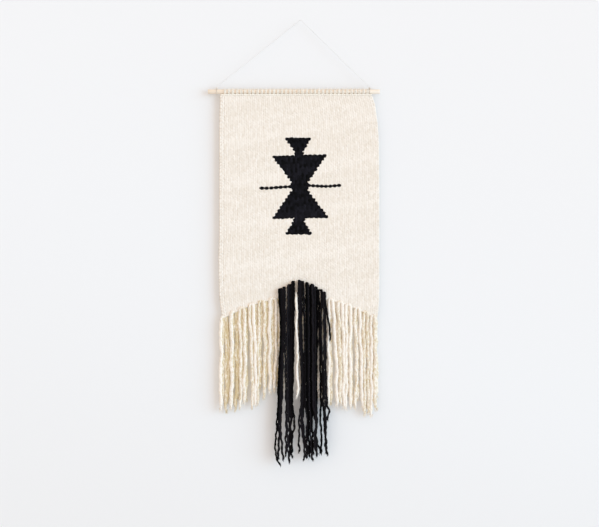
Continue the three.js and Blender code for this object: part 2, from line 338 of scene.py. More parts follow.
class Yarns:
    """Closed tubes gathered into one mesh. Each has the length along it and the way round it
    as its map, named yarn, and a shade value named tone."""

    def __init__(self):
        self.points, self.faces, self.maps, self.tones = [], [], [], []
        self.count = 0

    def add(self, path, radius, sides=10, reference=(0, 1, 0), tone=0.5):
        """A ring of points round every path point: path + radius * (cos a * side + sin a * up),
        where side is tangent x reference and up is side x tangent. Both ends get a flat cap."""
        path = np.asarray(path, float)
        count = len(path)
        tangent = np.gradient(path, axis=0)
        tangent /= np.linalg.norm(tangent, axis=1, keepdims=True)
        side = np.cross(tangent, reference)
        side /= np.linalg.norm(side, axis=1, keepdims=True)
        up = np.cross(side, tangent)
        angle = round_angles(sides)
        if np.ndim(radius) < 2:
            radius = np.asarray(radius, float).reshape(-1, 1)
        radius = np.broadcast_to(radius, (count, sides))
        across, upright = np.cos(angle)[None, :, None], np.sin(angle)[None, :, None]
        outward = across * side[:, None] + upright * up[:, None]
        rings = path[:, None] + radius[..., None] * outward
        first = self.count
        index = first + np.arange(count * sides).reshape(count, sides)
        turned = np.roll(index, -1, axis=1)
        quads = grouped(index[:-1], index[1:], turned[1:], turned[:-1])
        self.points.append(rings.reshape(-1, 3))
        self.faces += quads.tolist()
        self.faces += [index[0].tolist(), index[-1][::-1].tolist()]
        far = lengths(path)
        share = np.arange(sides) / sides
        low, high, near = np.broadcast_arrays(far[:-1, None], far[1:, None], share)
        after = near + 1 / sides
        corners = grouped(low, near, high, near, high, after, low, after)
        caps = grouped(np.zeros(sides), share)
        self.maps += [corners.reshape(-1, 2), caps, caps + (far[-1], 0)]
        self.tones.append(np.full(len(quads) + 2, tone))
        self.count += count * sides

    def piece(self, name, material):
        mesh = mesh_of(name, np.vstack(self.points), self.faces)
        chart = mesh.uv_layers.new(name="yarn")
        flat = np.vstack(self.maps) * (MM, 1)
        chart.data.foreach_set("uv", flat.astype(np.float32).ravel())
        return finished(name, mesh, material, np.concatenate(self.tones))


def placed(name, data):
    """A new object in the scene that carries a mesh, a camera or a light."""
    piece = bpy.data.objects.new(name, data)
    bpy.context.scene.collection.objects.link(piece)
    return piece


def mesh_of(name, points, faces):
    """A mesh of points given in millimetres."""
    mesh = bpy.data.meshes.new(name)
    mesh.from_pydata((points * MM).tolist(), [], faces)
    return mesh


def finished(name, mesh, material, tones):
    """Gives every face its shade value and puts the mesh into the scene, smooth-shaded."""
    shade = mesh.attributes.new("tone", "FLOAT", "FACE")
    shade.data.foreach_set("value", tones.astype(np.float32))
    mesh.shade_smooth()
    mesh.materials.append(material)
    return placed(name, mesh)


def one_yarn(name, material, path, radius, **shape):
    """A piece that is a single yarn."""
    yarn = Yarns()
    yarn.add(path, radius, **shape)
    return yarn.piece(name, material)


def plied(radius, path, sides, plies, pitch, depth):
    """Radius all round a plied yarn: it swells over each ply, and the plies turn with length, as
    radius * (1 + depth * cos(plies * angle - 2 pi * length / pitch))."""
    angle = round_angles(sides)
    turn = 2 * np.pi * lengths(path) / pitch
    swell = 1 + depth * np.cos(plies * angle[None, :] - turn[:, None])
    return np.asarray(radius, float).reshape(-1, 1) * swell


# ----- The woven panel


def lower_edge(x):
    """Height of the panel's arched lower edge at x: a parabola."""
    return ARCH_TOP_Z - ARCH_RISE * ((x - ARCH_MIDDLE_X) / ARCH_HALF_SPAN) ** 2


# Heights of the waves that push the picks up and down: thick and thin picks, their unevenness,
# each column on its own, slanting hills, and ripples that come and go.
PICK_WAVE, FINE_WAVE, COLUMN_WAVE, HILL_WAVE, RIPPLE_WAVE = 1.0, 0.3, 1.5, 0.9, 0.8
# How far the columns wander sideways.
SIDE_WAVE = 0.3


def column_shift(column, w):
    """How far one column's beads sit off their row: a slow wave along the column, whose pace
    and start come from sines of the column's number and so differ from each to the next."""
    pace = 0.7 + 0.35 * np.sin(column * 12.9898)
    start = 2.6 * np.sin(column * 78.233)
    return COLUMN_WAVE * np.sin(pace * w + start + column)


def panel_place(u, w):
    """Where warp column u and bead row w lie on the panel. The rows go down from the top. Sine
    waves in u and w push them up and down, as thick and thin picks do, and each column a little
    too, eased from one column to the next. The columns share the width between the edges."""
    z = PANEL_TOP_Z - BEAD_HEIGHT * w
    z = z + PICK_WAVE * np.sin(0.23 * u + 0.9 * w + 1.4 * np.sin(0.11 * u))
    z = z + FINE_WAVE * np.sin(1.3 - 0.33 * u + 1.7 * w)
    left_column = np.floor(u - 0.5)
    share = u - 0.5 - left_column
    share = share * share * (3 - 2 * share)
    z = z + (1 - share) * column_shift(left_column, w) + share * column_shift(left_column + 1, w)
    z = z + HILL_WAVE * np.sin(0.55 * u + 0.13 * w + 2.0 * np.sin(0.07 * w))
    z = z + RIPPLE_WAVE * np.sin(1.9 * u + 0.4 * w) * np.sin(0.17 * u - 0.09 * w)
    left = np.interp(-z, [-edge for edge in EDGE_Z], LEFT_EDGE_X)
    right = np.interp(-z, [-edge for edge in EDGE_Z], RIGHT_EDGE_X)
    x = left + (right - left) * np.clip(u, 0, COLUMNS) / COLUMNS
    inner = np.clip(np.minimum(u, COLUMNS - u), 0, 1)
    return x + SIDE_WAVE * inner * np.sin(w * 0.31 + u * 0.4), z


def bead_grid():
    """Column and centre of every bead of the panel. Odd columns sit half a bead lower."""
    rows = int((PANEL_TOP_Z - PANEL_BOTTOM_Z) / BEAD_HEIGHT) + 2
    column, row = np.meshgrid(np.arange(COLUMNS), np.arange(-1, rows), indexing="ij")
    column, row = column.ravel(), row.ravel()
    return column, column + 0.5, row + 0.5 + 0.5 * (column % 2)


def bead_outline():
    """Twelve points round a bead, anticlockwise from the front: six corners of a long hexagon
    whose side tips reach under the neighbouring columns, the middles of its slopes, and the
    middles of its two ends."""
    tip = 1 - BEAD_TIP
    return np.array([
        (-BEAD_TIP, -0.5), (-0.5, -0.25), (-tip, 0), (-0.5, 0.25), (-BEAD_TIP, 0.5), (0, 0.5),
        (BEAD_TIP, 0.5), (0.5, 0.25), (tip, 0), (0.5, -0.25), (BEAD_TIP, -0.5), (0, -0.5),
    ])


# Of a bead's twelve points: those that its ring repeats, the starts of the sides along its two
# ends, the middles of its slopes, and the ring's own point before each of those.
RING = [0, 2, 4, 5, 6, 8, 10, 11]
ENDS = [4, 5, 10, 11]
SLOPES = np.array([1, 3, 7, 9])
SLOPE_RING = [0, 1, 4, 5]


# The black figure's outline, clockwise from its top left corner. The beads follow it drawn in by
# the inset, and the scallop is how much of a bead's own shape is left along it.
FIGURE = np.array([
    (-27.8, -207.4), (18.8, -207.4), (4.6, -232.4), (4.6, -237.6), (46.6, -237.2),
    (13.2, -285.5), (13.0, -300.5), (49.2, -349.4), (7.2, -349.8), (6.6, -355.4),
    (19.4, -378.4), (-26.6, -378.4), (-12.6, -355.4), (-12.2, -350.2), (-49.6, -351.0),
    (-15.6, -300.5), (-16.0, -285.5), (-50.0, -239.6), (-10.4, -238.4), (-10.2, -232.4),
])
SCALLOP = 0.15
FIGURE_INSET = 1.0


def drawn_in(outline, by):
    """A clockwise outline drawn in: each corner moves along the sum of the inward directions of
    its two sides, divided by one plus their dot product where that is more than one."""
    side = np.roll(outline, -1, axis=0) - outline
    inward = np.stack([side[:, 1], -side[:, 0]], 1) / np.linalg.norm(side, axis=1, keepdims=True)
    before = np.roll(inward, 1, axis=0)
    share = 1 + (inward * before).sum(axis=1, keepdims=True)
    return outline + by * (inward + before) / np.maximum(share, 1)


def along_outline(outline, steps=60):
    """Dense points along a closed outline."""
    way = np.linspace(0, 1, steps, endpoint=False)[:, None, None]
    return (outline + way * (np.roll(outline, -1, axis=0) - outline)).reshape(-1, 2)


def inside_outline(x, z, outline):
    """Whether points lie inside a closed outline: a ray to the right crosses it an odd number
    of times."""
    x0, z0 = outline[:, 0], outline[:, 1]
    x1, z1 = np.roll(x0, -1), np.roll(z0, -1)
    spans = (z0 > z[:, None]) != (z1 > z[:, None])
    rise = np.where(z1 == z0, 1e-9, z1 - z0)
    crossing = x0 + (z[:, None] - z0) * (x1 - x0) / rise
    return (spans & (x[:, None] < crossing)).sum(axis=1) % 2 == 1


def rim_corners(corner, chosen, count):
    """Marks the corners that lie on a side which only one of the chosen beads has."""
    ring = corner[chosen]
    sides = np.sort(grouped(ring, np.roll(ring, -1, axis=1)), axis=1)
    unique, times = np.unique(sides, axis=0, return_counts=True)
    on_rim = np.zeros(count, bool)
    on_rim[unique[times == 1].ravel()] = True
    return on_rim


# The relief, from the flat face of the panel: how deep the corners between beads lie, the middles
# of the ends where one bead follows another, and how much deeper beside the selvedge.
GROOVE, SADDLE, SELVEDGE_GROOVE = 0.5, 0.12, 0.4
# How far the crowns stand out, and how much further in the selvedge's columns.
CROWN, SELVEDGE_CROWN, SELVEDGE_COLUMNS = 0.1, 0.3, 2
# How far the corners stray within the panel, and how much their depths, the crowns and the shades
# differ from one to the next.
CORNER_SPREAD, GROOVE_SPREAD, CROWN_SPREAD, TONE_SPREAD = 0.13, 0.1, 0.13, 0.17
# How far inside the lower edge and the top a bead's centre has to be, and how far from them the
# rim's corners move onto them.
HEM_ROOM, TOP_ROOM, RIM_REACH = 1.2, 1.0, 12
# How near to a side edge, in columns, a corner lies on it, and the ripple of the side edges and
# of the lower edge.
SIDE_SNAP, SIDE_RIPPLE, HEM_RIPPLE = 0.6, 0.25, 0.3


def weave():
    """The groove corners that neighbouring beads share, and the crown of each bead.

    A bead belongs to the panel if its centre is above the lower edge, and to the figure if it is
    inside the outline. The corners between figure and ground move most of the way to the nearest
    point of the outline, and those on the panel's rim move to its edges. Depths and shades drift
    along each pick and vary from bead to bead."""
    rng = np.random.default_rng(11)
    column, u, w = bead_grid()
    outline = bead_outline()
    all_u = u[:, None] + outline[:, 0]
    all_w = w[:, None] + outline[:, 1]
    keys = np.round(grouped(all_u, all_w) * 1000).astype(int)
    unique, inverse = np.unique(keys, axis=0, return_inverse=True)
    corner = inverse.reshape(all_u.shape)
    corner_u = unique[:, 0] / 1000
    corner_u = np.where(corner_u < SIDE_SNAP, 0, corner_u)
    corner_u = np.where(corner_u > COLUMNS - SIDE_SNAP, COLUMNS, corner_u)
    x, z = panel_place(corner_u, unique[:, 1] / 1000)
    within = (corner_u > 0) & (corner_u < COLUMNS)
    x = x + np.where(within, rng.normal(0, CORNER_SPREAD, len(x)), SIDE_RIPPLE * np.sin(z * 1.1))
    z = z + np.where(within, rng.normal(0, CORNER_SPREAD, len(z)), 0)
    centre_x, centre_z = x[corner].mean(1), z[corner].mean(1)
    chosen = centre_z > lower_edge(centre_x) + HEM_ROOM
    chosen &= centre_z < PANEL_TOP_Z - TOP_ROOM
    figure_outline = drawn_in(FIGURE, FIGURE_INSET)
    black = chosen & inside_outline(centre_x, centre_z, figure_outline)
    edge = along_outline(figure_outline)
    shared = np.intersect1d(corner[black], corner[chosen & ~black])
    gap = (x[shared, None] - edge[:, 0]) ** 2 + (z[shared, None] - edge[:, 1]) ** 2
    nearest = edge[gap.argmin(axis=1)]
    x[shared] = nearest[:, 0] + SCALLOP * (x[shared] - nearest[:, 0])
    z[shared] = nearest[:, 1] + SCALLOP * (z[shared] - nearest[:, 1])
    rim = rim_corners(corner, chosen, len(x)) & within
    low, high = rim & (z < ARCH_TOP_Z + RIM_REACH), rim & (z > PANEL_TOP_Z - RIM_REACH)
    z[low] = lower_edge(x[low]) - HEM_RIPPLE * np.abs(np.sin(x[low] * 0.8))
    z[high] = PANEL_TOP_Z
    saddle = np.abs(unique[:, 0] % 1000 - 500) < 10
    depth = np.where(saddle, SADDLE, GROOVE)
    groove = PANEL_HALF_THICKNESS - depth + rng.normal(0, GROOVE_SPREAD, len(x))
    groove -= np.where(np.abs(corner_u - SELVEDGE_COLUMNS) < 0.2, SELVEDGE_GROOVE, 0)
    selvedge = column < SELVEDGE_COLUMNS
    along_pick, along_column = u * COLUMN_PITCH, w * BEAD_HEIGHT
    pick = drift(along_pick + w * 997.0, rng, 60.0)
    crown = PANEL_HALF_THICKNESS + CROWN + 0.2 * pick + rng.normal(0, CROWN_SPREAD, len(u))
    crown += np.where(selvedge, SELVEDGE_CROWN, 0)
    tone = 0.5 + 0.15 * selvedge + 0.16 * pick + 0.2 * drift(along_column + u * 0.7, rng, 70.0)
    tone += 0.27 * drift(along_column + column * 811.0, rng, 26.0)
    tone += rng.normal(0, TONE_SPREAD, len(u))
    return {
        "chosen": chosen, "black": black, "corner": corner, "x": x, "z": z,
        "groove": groove, "crown": crown, "tone": np.clip(tone, 0, 1),
    }


# Where a bead's ring lies, from its centre at 0 to its rim at 1, how far it has come down from the
# crown there, and how high the crown is on the back.
RING_SHARE, RING_FALL, BACK_CROWN = 0.6, 0.3, 0.9


def bead_cloth(name, beads, chosen, material):
    """Front and back of the chosen beads, closed by a wall round their common outline. On the
    front a ring between centre and rim lies near the crown, so that each bead is a pillow. The
    ring leaves out the middles of the slopes: a fan of three triangles joins each to it."""
    corner = beads["corner"][chosen]
    used, local = np.unique(corner, return_inverse=True)
    local = local.reshape(corner.shape)
    gx, gz, gy = beads["x"][used], beads["z"][used], beads["groove"][used]
    count, sides = corner.shape
    front = np.stack([gx, -gy, gz], 1)
    back = np.stack([gx, gy, gz], 1)
    rim = front[local]
    centre = rim.mean(axis=1)
    centre[:, 1] = -beads["crown"][chosen]
    ring = centre[:, None] + RING_SHARE * (rim[:, RING] - centre[:, None])
    ring[..., 1] = centre[:, None, 1] + RING_FALL * (rim[:, RING, 1] - centre[:, None, 1])
    behind = centre * (1, -BACK_CROWN, 1)
    points = np.vstack([front, back, ring.reshape(-1, 3), centre, behind])
    to_back = len(used)
    to_ring = 2 * to_back
    to_centre = to_ring + count * len(RING)
    to_behind = to_centre + count
    ring_index = to_ring + np.arange(count * len(RING)).reshape(count, len(RING))
    own = np.broadcast_to(np.arange(count)[:, None], (count, sides))
    after = np.roll(local, -1, axis=1)
    ring_after = np.roll(ring_index, -1, axis=1)
    start = ring_index[:, [RING.index(side) for side in ENDS]]
    stop = ring_index[:, [RING.index(side + 1) if side + 1 in RING else 0 for side in ENDS]]
    ends = grouped(local[:, ENDS], after[:, ENDS], stop, start)
    start, stop = ring_index[:, SLOPE_RING], ring_after[:, SLOPE_RING]
    first, middle, last = local[:, SLOPES - 1], local[:, SLOPES], after[:, SLOPES]
    fans = np.concatenate([
        grouped(first, middle, start),
        grouped(middle, stop, start),
        grouped(middle, last, stop),
    ])
    tops = grouped(ring_index, ring_after, to_centre + own[:, :len(RING)])
    backs = grouped(after + to_back, local + to_back, to_behind + own)
    edges = grouped(local, after)
    same = {"axis": 0, "return_inverse": True, "return_counts": True}
    _, which, times = np.unique(np.sort(edges, axis=1), **same)
    open_ = times[which.ravel()] == 1
    a, b = edges[open_, 0], edges[open_, 1]
    walls = grouped(b, a, a + to_back, b + to_back)
    faces = [face for part in (ends, fans, tops, backs, walls) for face in part.tolist()]
    own_tone = beads["tone"][chosen]
    by_end, by_slope = np.repeat(own_tone, len(ENDS)), np.repeat(own_tone, len(SLOPES))
    by_ring, by_side = np.repeat(own_tone, len(RING)), np.repeat(own_tone, sides)
    tones = [by_end, by_slope, by_slope, by_slope, by_ring, by_side, by_side[open_]]
    tones = np.concatenate(tones)
    return finished(name, mesh_of(name, points, faces), material, tones)


# Where the black yarn turns along the figure's outline: the pitch of the turns, how far inside
# the outline they sit, and their half sizes across, in depth and in height.
FLAT_TURN = (TWO_ENDS, 1.5, (4.3, 1.3, 2.3))
SLANT_TURN = (7.3, 1.25, (3.3, 1.3, 3.0))
# A side that rises less than this is a flat one.
FLAT_RISE = 3
# The place of the turns in depth, and how far they stray along the outline, as a share of their
# pitch, and across it.
TURN_DEPTH = -1.75
TURN_SPREAD_ALONG, TURN_SPREAD_ACROSS = 0.09, 0.3


def pillows(centres, halves, around=12, along=8):
    """Ellipsoids: centre + half * (sin b * cos a, sin b * sin a, cos b), with a fan at each
    pole. Returns the points and faces of them all."""
    a = round_angles(around)
    b = np.pi * np.arange(1, along) / along
    ring = grouped(np.outer(np.sin(b), np.cos(a)), np.outer(np.sin(b), np.sin(a)),
                   np.outer(np.cos(b), np.ones(around)))
    unit = np.vstack([ring, (0, 0, 1), (0, 0, -1)])
    index = np.arange((along - 1) * around).reshape(along - 1, around)
    after = np.roll(index, -1, axis=1)
    top, bottom = len(unit) - 2, len(unit) - 1
    quads = grouped(index[:-1], index[1:], after[1:], after[:-1])
    caps = [(top, i, j) for i, j in zip(index[0], after[0])]
    caps += [(bottom, j, i) for i, j in zip(index[-1], after[-1])]
    points = (centres[:, None] + halves[:, None] * unit).reshape(-1, 3)
    faces = []
    for first in range(0, len(points), len(unit)):
        faces += (quads + first).tolist()
        faces += [[int(corner) + first for corner in cap] for cap in caps]
    return points, faces


def outline_turns(outline):
    """Centres and half sizes of the turns of yarn along the figure's outline: evenly spaced on
    each side, drawn in, and a little uneven."""
    rng = np.random.default_rng(23)
    centres, halves = [], []
    for start, end in zip(outline, np.roll(outline, -1, axis=0)):
        side = end - start
        long = np.hypot(*side)
        pitch, inset, half = FLAT_TURN if abs(side[1]) < FLAT_RISE else SLANT_TURN
        count = max(1, round(long / pitch))
        way = ((np.arange(count) + 0.5) / count)[:, None]
        inward = np.array([side[1], -side[0]]) / long
        way[1:-1] += rng.normal(0, TURN_SPREAD_ALONG / count, (max(0, count - 2), 1))
        inset = inset + rng.normal(0, TURN_SPREAD_ACROSS, (count, 1))
        places = start + way * side + inset * inward
        centres += [(x, TURN_DEPTH, z) for x, z in places]
        halves += [half] * count
    return np.array(centres, float), np.array(halves, float)


def figure_turns(name, material):
    """The turns of black yarn along the figure's outline, as flattened ellipsoids."""
    points, faces = pillows(*outline_turns(FIGURE))
    return finished(name, mesh_of(name, points, faces), material, np.full(len(faces), 0.5))


# Each thin black line is one pick of yarn, given by its route.
LINES = {
    "left": [(-72.4, 0, -296.5), (-57.5, 0, -296.6), (-36.3, 0, -295.0), (-14.0, 0, -293.8)],
    "right": [(11.0, 0, -291.6), (27.4, 0, -292.7), (45.1, 0, -293.5), (57.5, 0, -292.7),
              (71.6, 0, -291.5)],
}
# Its place in depth, half height and half depth where it is thinnest, and what each of them gains
# where it is thickest.
LINE_THIN = (-1.75, 1.45, 0.9)
LINE_SWELL = (-0.75, 1.5, 0.45)


def line_yarn(name, route, material):
    """One black pick over every second end: a flattened yarn that swells where it comes over an
    end and thins where it dives between two, size = thin + gain * |sin| ** 0.8. Its section is an
    ellipse, radius = tall * deep / sqrt((deep cos a) ** 2 + (tall sin a) ** 2)."""
    path = curve_through(route, 0.5)
    far = lengths(path)
    bead_count = max(1, round(far[-1] / TWO_ENDS))
    swell = np.abs(np.sin(np.pi * bead_count * far / far[-1])) ** 0.8
    path[:, 1], tall, deep = (thin + gain * swell for thin, gain in zip(LINE_THIN, LINE_SWELL))
    sides = 12
    angle = round_angles(sides)
    across = (deep[:, None] * np.cos(angle)) ** 2 + (tall[:, None] * np.sin(angle)) ** 2
    radius = tall[:, None] * deep[:, None] / np.sqrt(across)
    return one_yarn(name, material, path, radius, sides=sides)


# The last pick's ends, its thickness, the swell over each second end and the drift of both its
# depth and its thickness.
HEM_LEFT_X, HEM_RIGHT_X = -137.5, 135.5
HEM_RADIUS, HEM_SWELL, HEM_DRIFT = 1.75, 0.22, (0.3, 0.15)


def edge_yarn(name, material):
    """The thick last pick that finishes the lower edge: a yarn along the arch, knobbly at every
    second end, radius = plain + swell * |sin(pi * x / two ends)| + drift."""
    x = np.arange(HEM_LEFT_X, HEM_RIGHT_X, 0.9)
    rng = np.random.default_rng(17)
    y = -0.9 + HEM_DRIFT[0] * drift(x, rng, 9)
    path = np.stack([x, y, lower_edge(x) + 0.3], 1)
    radius = HEM_RADIUS + HEM_SWELL * np.abs(np.sin(np.pi * x / TWO_ENDS))
    radius += HEM_DRIFT[1] * drift(x, rng, 23)
    radius = plied(radius, path, 10, 2, 8.0, 0.08)
    return one_yarn(name, material, path, radius, sides=10, reference=(0, 0, 1), tone=0.75)


# ----- Dowel, thread and warp loops


def make_dowel(material):
    """A round rod with its edges eased by sanding: a quarter circle, radius less
    ease - sqrt(ease ** 2 - (ease - distance from the end) ** 2)."""
    ease, steps = 0.5, 60
    length = DOWEL_RIGHT_X - DOWEL_LEFT_X
    ends = np.array([0, 0.12, 0.3, ease])
    middle = np.linspace(ease, length - ease, steps)[1:-1]
    at = np.concatenate([ends, middle, length - ends[::-1]])
    near_end = np.minimum(at, at[::-1])
    rounding = ease - np.sqrt(np.maximum(ease**2 - (ease - near_end) ** 2, 0))
    inset = np.where(near_end < ease, rounding, 0)
    path = np.stack([DOWEL_LEFT_X + at, np.zeros_like(at), np.full_like(at, DOWEL_Z)], 1)
    return one_yarn("dowel_rod", material, path, DOWEL_RADIUS - inset, sides=48)


def make_thread(material):
    """The hanging thread along its route, and its path."""
    path = curve_through(THREAD_ROUTE, 0.6)
    return one_yarn("hanging_thread", material, path, THREAD_DIAMETER / 2, sides=8), path


# How far the wraps advance along the dowel for each radian, the half sizes of the knot's bow and
# the height of its middle, and the tail: how far outward, its depth and its height.
WRAP_ADVANCE = 0.17
BOW_SIZE, BOW_HEIGHT = (1.1, 0.9, 1.0), 1.5
TAIL = [(0, -0.6, 1.2), (1.4, -1.2, 0.8), (3.0, -1.8, 0.3), (5.0, -2.2, 0)]


def make_knot(name, x, side, material):
    """Two turns of the thread round the dowel, an overhand knot on top, a short tail and the
    stem up to the thread. The bow is a figure of eight, (sin a, sin 2a, cos a)."""
    radius = THREAD_DIAMETER / 2
    round_dowel = DOWEL_RADIUS + radius
    angle = np.linspace(-0.5 * np.pi, 3.5 * np.pi, 90)
    wrap = np.stack([
        x + (angle - np.pi * 1.5) * WRAP_ADVANCE,
        -round_dowel * np.sin(angle + np.pi / 2),
        DOWEL_Z + round_dowel * np.cos(angle + np.pi / 2),
    ], 1)
    turn = np.linspace(0, 2 * np.pi, 40)
    top = DOWEL_Z + round_dowel
    wide, deep, tall = BOW_SIZE
    bow = np.stack([
        x + wide * np.sin(turn),
        deep * np.sin(2 * turn),
        top + BOW_HEIGHT + tall * np.cos(turn + 0.4),
    ], 1)
    tail = curve_through([(x + side * out, y, top + up) for out, y, up in TAIL], 0.5)
    stem = [(x, 0, top + 0.2), (x, 0.2, top + 2.0), (x, 0, THREAD_ROUTE[0][2])]
    stem = curve_through(stem, 0.4)
    knot = Yarns()
    knot.add(wrap, radius, sides=8, reference=(1, 0, 0))
    knot.add(bow, radius, sides=8, reference=(0.1, 0.2, 1))
    knot.add(tail, radius * 0.9, sides=8, reference=(1, 0.3, 0))
    knot.add(stem, radius, sides=8)
    return knot.piece(name, material)


# The front leg of a warp loop from its foot in the panel, as depth and height.
LOOP_LEG = [(-0.9, PANEL_TOP_Z - 4.0), (-2.2, PANEL_TOP_Z), (-3.3, DOWEL_Z - 4.4)]
# The header row: half the depth of its twine, its middle in depth, and its ends' thickness.
HEADER_TWINE, HEADER_Y, HEADER_RADIUS = 0.9, -1.8, 1.4


def make_warp_loops(material):
    """Each loop is two cotton ends that come up from the panel, turn over the dowel side by
    side and go down behind it. Two twined cotton ends run along under them, each a sine in
    depth that stays at one distance from the dowel's axis."""
    rng = np.random.default_rng(5)
    loops = Yarns()
    around = DOWEL_RADIUS + COTTON_RADIUS + 0.05
    bend = np.radians(np.linspace(-40, 220, 27))
    arc = np.stack([-around * np.cos(bend), DOWEL_Z + around * np.sin(bend)], 1)
    route = np.vstack([LOOP_LEG, arc, [(-y, z) for y, z in LOOP_LEG[::-1]]])
    spread = np.linspace(-1, 1, len(route))
    for index in range(LOOPS):
        middle = LOOP_FIRST_X + index * LOOP_PITCH + rng.normal(0, 0.25)
        slant = rng.normal(0, 0.4)
        for side in (-1, 1):
            thick = COTTON_RADIUS * rng.uniform(0.92, 1.08)
            x = middle + side * COTTON_RADIUS * 1.15 + slant * spread * 0.5
            path = curve_through(np.column_stack([x, route]), 1.1)
            swell = plied(thick, path, 8, 2, 5.0, 0.1)
            loops.add(path, swell, sides=8, reference=(1, 0, 0), tone=rng.uniform(0.3, 0.9))
    at = np.arange(LEFT_EDGE_X[0] + 1.2, RIGHT_EDGE_X[0] - 0.5, 0.7)
    for half_turn in (0, np.pi):
        phase = 2 * np.pi * (at - LOOP_FIRST_X) / LOOP_PITCH + half_turn
        y = HEADER_TWINE * np.sin(phase) + HEADER_Y
        path = np.stack([at, y, DOWEL_Z - np.sqrt(HEADER_REACH**2 - y**2)], 1)
        loops.add(path, HEADER_RADIUS, sides=8, reference=(0, 0, 1), tone=0.7)
    return loops.piece("cotton_warp_loops", material)


# ----- Fringe


# The numbers of the depths that a cream strand hangs at, and the depths: in front, behind, far
# forward, and between the first two.
FRONT, BEHIND, FORWARD = 0, 1, 2
CREAM_DEPTH = (-1.6, 1.4, -8.2, 0.1)

# Each row is one cream strand, from left to right, two to a tassel: its x at the knot, half way
# down and at the end, and the number of its depth.
CREAM = {
    "left": [
        (-140.5, -141.0, -141.5, 0), (-132.5, -131.5, -132.0, 1),
        (-122.5, -121.5, -122.5, 0), (-114.0, -113.0, -114.0, 1),
        (-107.5, -105.5, -106.5, 0), (-99.5, -98.0, -100.0, 0),
        (-90.0, -86.0, -84.5, 0), (-83.0, -79.5, -80.0, 0),
        (-73.5, -74.5, -75.0, 0), (-64.0, -63.0, -65.0, 0),
        (-54.0, -54.5, -54.0, 0), (-43.5, -42.8, -45.8, 0),
    ],
    "centre": [
        (-37.0, -38.0, -37.0, 3), (-29.5, -30.0, -31.0, 3), (-20.0, -19.5, -21.0, 3),
        (-7.6, -5.8, -5.2, 2), (-2.0, -2.5, -3.0, 3), (5.5, 5.0, 4.5, 3),
        (14.0, 15.0, 14.0, 3), (23.0, 22.0, 23.0, 3), (31.5, 33.0, 32.0, 3), (39.5, 39.5, 40.5, 3),
    ],
    "right": [
        (49.5, 49.5, 49.5, 0), (57.0, 62.5, 64.5, 0),
        (66.5, 70.0, 71.0, 0), (74.0, 77.0, 76.5, 0),
        (80.5, 81.0, 80.0, 0), (88.5, 87.5, 89.0, 0),
        (96.5, 99.5, 97.0, 0), (104.5, 107.5, 109.0, 0),
        (111.5, 113.0, 114.0, 0), (118.5, 119.5, 120.0, 0),
        (125.0, 125.5, 125.0, 0), (131.5, 131.8, 131.2, 0),
    ],
}
CREAM_FALL = {
    "left": [161, 164, 159, 162, 157, 149, 157, 153, 151, 140, 131, 127],
    "centre": [128, 125, 130, 137, 129, 126, 133, 131, 137, 141],
    "right": [152, 153, 151, 157, 159, 156, 158, 157, 170, 167, 172, 160],
}
# How much paler the strands behind are in each group: it takes back part of their painted shade.
PALENESS = {"left": 0.0, "centre": 0.5, "right": 0.35}
# The whitest strands, by their x at the knot.
WHITEST = (49.5, -7.6)
# The radius of the one that hangs far forward.
FORWARD_RADIUS = 2.4

# The black strands, from left to right, two to a tassel: x at the knot and at each of the
# levels, then the last points of the strand.
BLACK_LEVELS = (-547.5, -627.1, -674.9, -706.8, -738.6, -759.9)
BLACK = [
    ([-38.0, -34.6, -38.6, -39.5, -41.2, -43.7, -44.1], [(-39.8, -779.3), (-34.9, -786.4)]),
    ([-34.2, -32.6, -35.2, -36.3, -38.1, -38.1, -38.8], [(-39.8, -775.8)]),
    ([-30.4, -30.0, -32.0, -33.1, -35.2, -34.2, -32.0], [(-30.1, -777.6)]),
    ([-27.6, -27.1, -26.4, -25.3, -25.3, -25.7, -25.7], [(-26.6, -770.5)]),
    ([-22.1, -23.3, -23.0, -22.5, -23.2, -22.8, -22.1], [(-18.6, -782.0)]),
    ([-18.8, -19.6, -19.3, -19.3, -20.0, -19.3, -18.9], [(-21.6, -774.0)]),
    ([-15.0, -15.5, -16.3, -16.5, -17.5, -16.1, -17.5], [(-14.2, -773.3)]),
    ([-11.7, -12.1, -13.2, -14.8, -10.8, -14.7, -15.8], [(-16.8, -765.2)]),
    ([-3.3, -1.9, 2.0, 0.9, -2.3, -2.7, -2.3], [(-2.1, -763.4)]),
    ([-0.6, -0.1, 3.8, 3.4, 1.2, 4.4, 7.6], [(5.0, -777.6)]),
    ([2.0, 1.5, 5.7, 5.8, 3.9, 7.3, 10.4], [(11.5, -774.0)]),
    ([4.7, 7.3, 8.0, 8.7, 11.9, 10.4, 13.6], [(17.5, -771.4)]),
    ([10.1, 10.8, 11.2, 11.9, 14.3, 14.0, 16.1], [(14.7, -766.9)]),
    ([13.3, 14.3, 14.7, 15.4, 17.5, 17.9, 19.3], [(21.8, -777.6)]),
    ([17.2, 17.9, 18.2, 18.9, 20.2, 20.7, 22.5], [(23.9, -766.9)]),
    ([21.1, 21.8, 21.8, 22.8, 27.3, 24.2, 26.7], [(29.2, -770.0)]),
    ([25.0, 25.7, 25.0, 25.7, 28.0, 26.7, 28.5], [(30.6, -766.9)]),
    ([28.9, 29.2, 28.1, 28.5, 28.7, 28.1, 34.5], [(37.3, -766.9)]),
    ([31.9, 33.3, 35.2, 35.8, 35.0, 37.2, 35.9], [(33.1, -764.3)]),
    ([37.3, 35.8, 39.1, 39.8, 41.9, 43.7, 45.1], [(44.2, -765.2)]),
    ([40.2, 41.6, 41.6, 43.0, 44.4, 44.8, 46.2], [(47.8, -768.7)]),
    ([43.4, 44.1, 44.8, 46.6], [(50.1, -690.8), (47.6, -706.8)]),
]
# The heights of the black knots, from left to right.
BLACK_TOPS = (-473.5, -470.3, -467.1, -461.4, -459.5, -460.7, -463.6, -466.7, -470.6, -474.9,
              -479.1)
